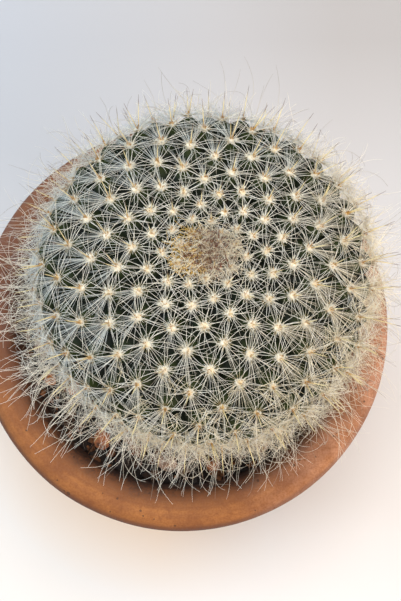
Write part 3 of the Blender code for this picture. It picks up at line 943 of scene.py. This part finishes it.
draw = np.random.default_rng(8)
counts = np.where(shown, 1 + (draw.uniform(size=len(spots)) < SECOND_SHARE), 0)
of = repeat(counts)
lean = aims[of]
doubled = counts[of] == 2
turns = draw.uniform(0, 2 * math.pi, len(of))
tip_out = np.where(doubled, 0.45, 0.12) * draw.uniform(0.5, 1.2, len(of))
ways = unit(lean + tangents(lean, turns) * tip_out[:, None])
growth = np.minimum(1, alongs[of] / CENTRAL_GROWN)
lengths = CENTRAL_LENGTHS[0] + (CENTRAL_LENGTHS[1] - CENTRAL_LENGTHS[0]) * growth
lengths *= draw.uniform(0.85, 1.15, len(of))
paths = grow_paths(spots[of] + ways * ROOT_LIFT, ways, lengths, draw, steps=4, curl=0.02)
central = fibre_material("golden_spine", CENTRAL_GOLD, CENTRAL_PALE, CENTRAL_BROWN, 0.35, 0.38,
                         roughness=0.35)
radii = CENTRAL_RADIUS * (0.7 + 0.3 * growth)
dress("central_spines", fibre_mesh("central_spines", paths, radii, sides=5), central)


# The webs: on the older areoles, very fine hairs fan out flat towards the two next areoles
# further out, so close together that they look like a thin web over the green. Painted light
# tints them cool silver white on the left and warm cream on the right and in front.
WEB_HAIRS = 40
WEB_RADIUS = 0.000040
WEB_START = 0.0006
WEB_HALF = math.radians(36)
WEB_AGE = (0.015, 0.030)
LOWEST_WEB = 0.103
SUNLIT_BAND = (-0.005, 0.030)
WEB_COOL_PAINTED_LIGHT = display(214, 220, 218)
WEB_WARM_PAINTED_LIGHT = display(244, 232, 206)

draw = np.random.default_rng(13)
ripe = smooth_share(alongs, *WEB_AGE)
grown_up = (spots[:, 2] > LOWEST_WEB) & (ripe > 0.05)
level_out = unit(spots * [1, 1, 0] - [*BODY_CENTRE[:2], 0])
counts = WEB_HAIRS * ripe * draw.uniform(0.5, 1.1, len(spots)) * (upright - 0.3) / 0.7
counts *= 0.25 + 0.75 * np.maximum(np.abs(level_out[:, 0]), level_out[:, 1])
counts = np.where(grown_up, counts, 0).astype(int)
of = repeat(counts)
outermost = unit(outwards * (outwards @ plant_axis)[:, None] - plant_axis)
sideways = np.cross(outwards, outermost)
turns = draw.uniform(-WEB_HALF, WEB_HALF, len(of)) + draw.normal(0, 0.25, len(spots))[of]
ways = outermost[of] * np.cos(turns)[:, None] + sideways[of] * np.sin(turns)[:, None]
ways += outwards[of] * draw.uniform(0.02, 0.22, (len(of), 1))
roots = spots[of] + ways * WEB_START
lengths = spacings[of] * draw.uniform(0.7, 1.15, len(of))
paths = grow_paths(roots, ways, lengths, draw, steps=3, curl=0.025)
web_hair = fibre_material("web_hair", WEB_COOL_PAINTED_LIGHT, WEB_COOL_PAINTED_LIGHT, WEB_COOL_PAINTED_LIGHT, 0.1, 0.3, roughness=0.5)
tree = web_hair.node_tree
x, y, _ = add_node(tree, "SeparateXYZ", {0: object_place(tree)}).outputs
# Painted light: the webs are tinted cool on the left and warm towards the front and right.
sunlit = count(tree, "SUBTRACT", times(tree, x, 0.8), times(tree, y, 0.6))
tone = mix(tree, spread(tree, sunlit, *SUNLIT_BAND), WEB_COOL_PAINTED_LIGHT, WEB_WARM_PAINTED_LIGHT)
group = next(node for node in tree.nodes if node.type == "GROUP")
for socket in group.inputs[:3]:
    tree.links.new(tone, socket)
dress("web_hairs", fibre_mesh("web_hairs", paths, WEB_RADIUS, tip=0.5), web_hair)


# The axil hairs: crinkled bristles that grow in bundles from between the lower tubercles, bend
# outwards over them and cross to a cream tangle at the plant's foot, in front and on the right.
AXIL_RADIUS = 0.000060
AXIL_BUNDLES = 2.6
BUNDLE_HAIRS = 7
BUNDLE_WIDTH = 0.0005
AXIL_SCATTER = 0.0012
AXIL_DEPTH = 0.0012
AXIL_AGE = (0.036, 0.052)
LOWEST_AXIL = 0.1005
AXIL_LENGTHS = (0.0050, 0.0085)
SUNNY_BAND = (-0.015, 0.035)
AXIL_HAIR = display(255, 241, 208)

draw = np.random.default_rng(14)
ripe = smooth_share(alongs, *AXIL_AGE)
grown_up = (spots[:, 2] > LOWEST_AXIL) & (ripe > 0)
upward = unit(plant_axis - outwards * (outwards @ plant_axis)[:, None])
sunny = smooth_share(spots[:, 0] * 0.8 - spots[:, 1] * 0.6, *SUNNY_BAND)
bundles = repeat(np.where(grown_up, np.round(0.3 + AXIL_BUNDLES * ripe * sunny), 0).astype(int))
heading = tangents(outwards[bundles], draw.uniform(0, 2 * math.pi, len(bundles)))
axils = spots[bundles] + upward[bundles] * (0.5 * spacings[bundles])[:, None]
axils += draw.normal(0, AXIL_SCATTER, axils.shape) - outwards[bundles] * AXIL_DEPTH
of = np.repeat(np.arange(len(bundles)), BUNDLE_HAIRS)
ways = heading[of] + aims[bundles][of] * draw.uniform(0.3, 0.8, (len(bundles), 1))[of]
ways += draw.normal(0, 0.3, (len(of), 3))
roots = axils[of] + draw.normal(0, BUNDLE_WIDTH, (len(of), 3))
lengths = draw.uniform(*AXIL_LENGTHS, len(bundles))[of] * draw.uniform(0.8, 1.15, len(of))
paths = grow_paths(roots, ways, lengths, draw, steps=5, curl=0.16, levels=[0.97, 1.01], coil=0.2)
axil_hair = fibre_material("axil_hair", AXIL_HAIR, AXIL_HAIR, CREAM_HAIR, 0.1, 0.3, roughness=0.5)
dress("axil_hairs", fibre_mesh("axil_hairs", paths, AXIL_RADIUS, tip=0.5), axil_hair)


# The skirt: long hairs from the lowest tubercles, in combs that point outwards over the soil and
# the lip. Most are nearly straight, some are wavy, and a few curl up at the end. Longer single
# curls lie over them.
SKIRT_TOP = 0.128
SKIRT_FOOT = 0.0985
SKIRT_HAIRS = 14
LEFT_HAIRS = 4
SKIRT_RADIUS = 0.000053
SKIRT_SCATTER = 0.0014
SKIRT_LENGTHS = (0.007, 0.014)
COMB_LENGTHS = (0, 0.004)
COILS, COIL_SHARES = (0.04, 0.2, 0.4, 0.8), (0.30, 0.28, 0.25, 0.17)
# How much longer the hairs are towards the right and back, and towards the left and front. A
# minus makes them shorter.
RIGHT_BACK_REACH = (0.32, -0.25, 0)
LEFT_FRONT_REACH = (0.52, 0.10, 0)
CURLS = 320
CURL_RADIUS = 0.000062
CURL_LENGTHS = (0.009, 0.020)
SKIRT_HAIR = display(252, 241, 222)
SKIRT_ROOT = display(224, 206, 178)
CURL_HAIR = display(255, 242, 226)

draw = np.random.default_rng(17)
low = (spots[:, 2] < SKIRT_TOP) & (spots[:, 2] > SKIRT_FOOT)
leftward = np.clip(-level_out[:, 0], 0, 1)
forward = np.clip(-level_out[:, 1], 0, 1)
of = repeat(np.where(low, SKIRT_HAIRS + LEFT_HAIRS * leftward, 0).astype(int))
combs = level_out + draw.normal(0, 0.28, spots.shape) + [0, 0, 0.05]
ways = combs[of] + draw.normal(0, 0.13, (len(of), 3))
roots = spots[of] + draw.normal(0, SKIRT_SCATTER, (len(of), 3))
lengths = draw.uniform(*SKIRT_LENGTHS, len(of)) + draw.uniform(*COMB_LENGTHS, len(spots))[of]
reach = np.clip(level_out, 0, 1) @ RIGHT_BACK_REACH + np.clip(-level_out, 0, 1) @ LEFT_FRONT_REACH
lengths *= (0.85 + reach)[of]
coils = draw.choice(COILS, len(of), p=COIL_SHARES)
coils *= np.minimum(1, 0.35 + 0.65 * sunny + 0.45 * forward)[of]
paths = grow_paths(roots, ways, lengths, draw, steps=12, curl=0.04 + 0.2 * coils,
                   pull=np.array([0, 0, -0.045]), coil=coils)
skirt_hair = fibre_material("skirt_hair", SKIRT_ROOT, SKIRT_HAIR, WHITE_HAIR, 0.25, 0.3, roughness=0.5)
radii = SKIRT_RADIUS * (1 + 0.3 * leftward[of])
dress("skirt_hairs", fibre_mesh("skirt_hairs", paths, radii, tip=0.5), skirt_hair)

of = draw.choice(np.nonzero(low)[0], CURLS)
ways = combs[of] + draw.normal(0, 0.35, (CURLS, 3))
lengths = draw.uniform(*CURL_LENGTHS, CURLS) * (0.9 + 0.5 * reach[of])
paths = grow_paths(spots[of], ways, lengths, draw, steps=20, curl=0.08,
                   pull=np.array([0, 0, -0.01]), coil=draw.uniform(0.06, 0.70, CURLS))
curl_hair = fibre_material("curl_hair", CURL_HAIR, CURL_HAIR, SKIRT_HAIR, 0.2, 0.3, roughness=0.5)
dress("long_curls", fibre_mesh("long_curls", paths, CURL_RADIUS, tip=0.6), curl_hair)


# The stray hairs: single long fine hairs that grow from the older areoles and stand off the
# plant on all sides.
STRAYS = 380
STRAY_AGE = 0.028
STRAY_RADIUS = 0.000055
STRAY_LENGTHS = (0.008, 0.019)
# Painted shade: the pale strays are coloured grey, and darker to their tips, as they look when shaded
# against the bright table.
STRAY_PAINTED_SHADE, STRAY_TIP_SHADE = display(205, 194, 180), display(150, 136, 122)

draw = np.random.default_rng(19)
of = draw.choice(np.nonzero((alongs > STRAY_AGE) & shown)[0], STRAYS)
ways = aims[of] + draw.normal(0, 0.3, (STRAYS, 3))
lengths = draw.uniform(*STRAY_LENGTHS, STRAYS)
paths = grow_paths(spots[of], ways, lengths, draw, steps=10,
                   curl=draw.uniform(0.02, 0.10, STRAYS), coil=draw.uniform(0.02, 0.35, STRAYS))
stray_hair = fibre_material("stray_hair", SKIRT_HAIR, STRAY_PAINTED_SHADE, STRAY_TIP_SHADE, 0.2, 0.5, roughness=0.5)
dress("stray_hairs", fibre_mesh("stray_hairs", paths, STRAY_RADIUS, tip=0.5), stray_hair)


# The growing point: a loose mat of fine hair over the youngest areoles, straw yellow on the left
# and pinkish brown in the middle, where the young spines' dark tips show through. Thicker pale
# strands lie over it.
MAT_HAIRS = 620
MAT_RADIUS = 0.0088
MAT_HAIR_RADIUS = 0.00007
MAT_LENGTHS = (0.0020, 0.0045)
MAT_WIDTHS = (1.2, 1.0)
BROWN_RING = (0.0066, 0.0030)
STRAW_START, STRAW_FULL = 0.0, -0.004
MAT_CLOUD_SCALE = 420.0
STRANDS = 190
STRAND_RADIUS = 0.00009
STRAND_LENGTHS = (0.0030, 0.0060)
STRAND_LIFT = 0.0006
YOUNG_SPINES = 150
YOUNG_RADIUS = 0.00015
YOUNG_LENGTHS = (0.0020, 0.0034)
MAT_BROWN = display(164, 130, 98)
MAT_STRAW = display(236, 194, 98)
MAT_PALE = display(216, 200, 176)
YOUNG_ROOT, YOUNG_SHAFT = display(206, 164, 110), display(150, 84, 52)
YOUNG_TIP = display(78, 34, 24)

draw = np.random.default_rng(23)
middle = np.array(GROWING_POINT) @ plant_axes.T + plant_centre


def mat_paths(number, ring_radius, length_span):
    """Hairs that lie over the growing point and lean towards its middle."""
    out = ring_radius * draw.uniform(size=number) ** 0.7
    turns = draw.uniform(0, 2 * math.pi, number)
    ring = np.c_[np.cos(turns), np.sin(turns)]
    flat = GROWING_POINT[:2] + ring * out[:, None] * MAT_WIDTHS
    roots = np.c_[flat, np.full(number, CROWN_HEIGHT)] @ plant_axes.T + plant_centre
    ways = -np.c_[ring, np.zeros(number)] @ plant_axes.T * 0.7 + plant_axis * 0.25
    ways += draw.normal(0, 0.5, (number, 3))
    lengths = draw.uniform(*length_span, number)
    return grow_paths(roots, ways, lengths, draw, steps=5, curl=0.08, coil=0.15)


mat_hair, tree, shader = new_material("mat_hair", roughness=0.6)
place = object_place(tree)
x, _, _ = add_node(tree, "SeparateXYZ", {0: place}).outputs
cloud = clouds(tree, place, MAT_CLOUD_SCALE)
edge = count(tree, "ADD", x, spread(tree, cloud, 0.3, 0.7, -0.002, 0.002))
away = distance_to(tree, place, middle)
tone = mix(tree, spread(tree, away, *BROWN_RING, 0.0, 0.9), MAT_PALE, MAT_BROWN)
strawy = spread(tree, edge, middle[0] + STRAW_START, middle[0] + STRAW_FULL)
tone = mix(tree, strawy, tone, MAT_STRAW)
tree.links.new(tone, shader.inputs["Base Color"])
paths = mat_paths(MAT_HAIRS, MAT_RADIUS, MAT_LENGTHS)
roots = paths[:, 0]
dress("crown_mat", fibre_mesh("crown_mat", paths, MAT_HAIR_RADIUS, tip=0.5), mat_hair)

strands = mat_paths(STRANDS, MAT_RADIUS * 1.15, STRAND_LENGTHS) + plant_axis * STRAND_LIFT
strand_hair = fibre_material("strand_hair", CREAM_HAIR, CREAM_HAIR, MAT_PALE, 0.1, 0.3, roughness=0.5)
dress("crown_strands", fibre_mesh("crown_strands", strands, STRAND_RADIUS, tip=0.5), strand_hair)

of = draw.choice(MAT_HAIRS, YOUNG_SPINES, replace=False)
ways = plant_axis + draw.normal(0, 0.5, (YOUNG_SPINES, 3))
lengths = draw.uniform(*YOUNG_LENGTHS, YOUNG_SPINES)
starts = middle + (roots[of] - middle) * 0.7
paths = grow_paths(starts, ways, lengths, draw, steps=3, curl=0.1)
young_spine = fibre_material("young_spine", YOUNG_ROOT, YOUNG_SHAFT, YOUNG_TIP, 0.3, 0.5,
                             roughness=0.45)
dress("young_spines", fibre_mesh("young_spines", paths, YOUNG_RADIUS, sides=4, tip=0.5), young_spine)
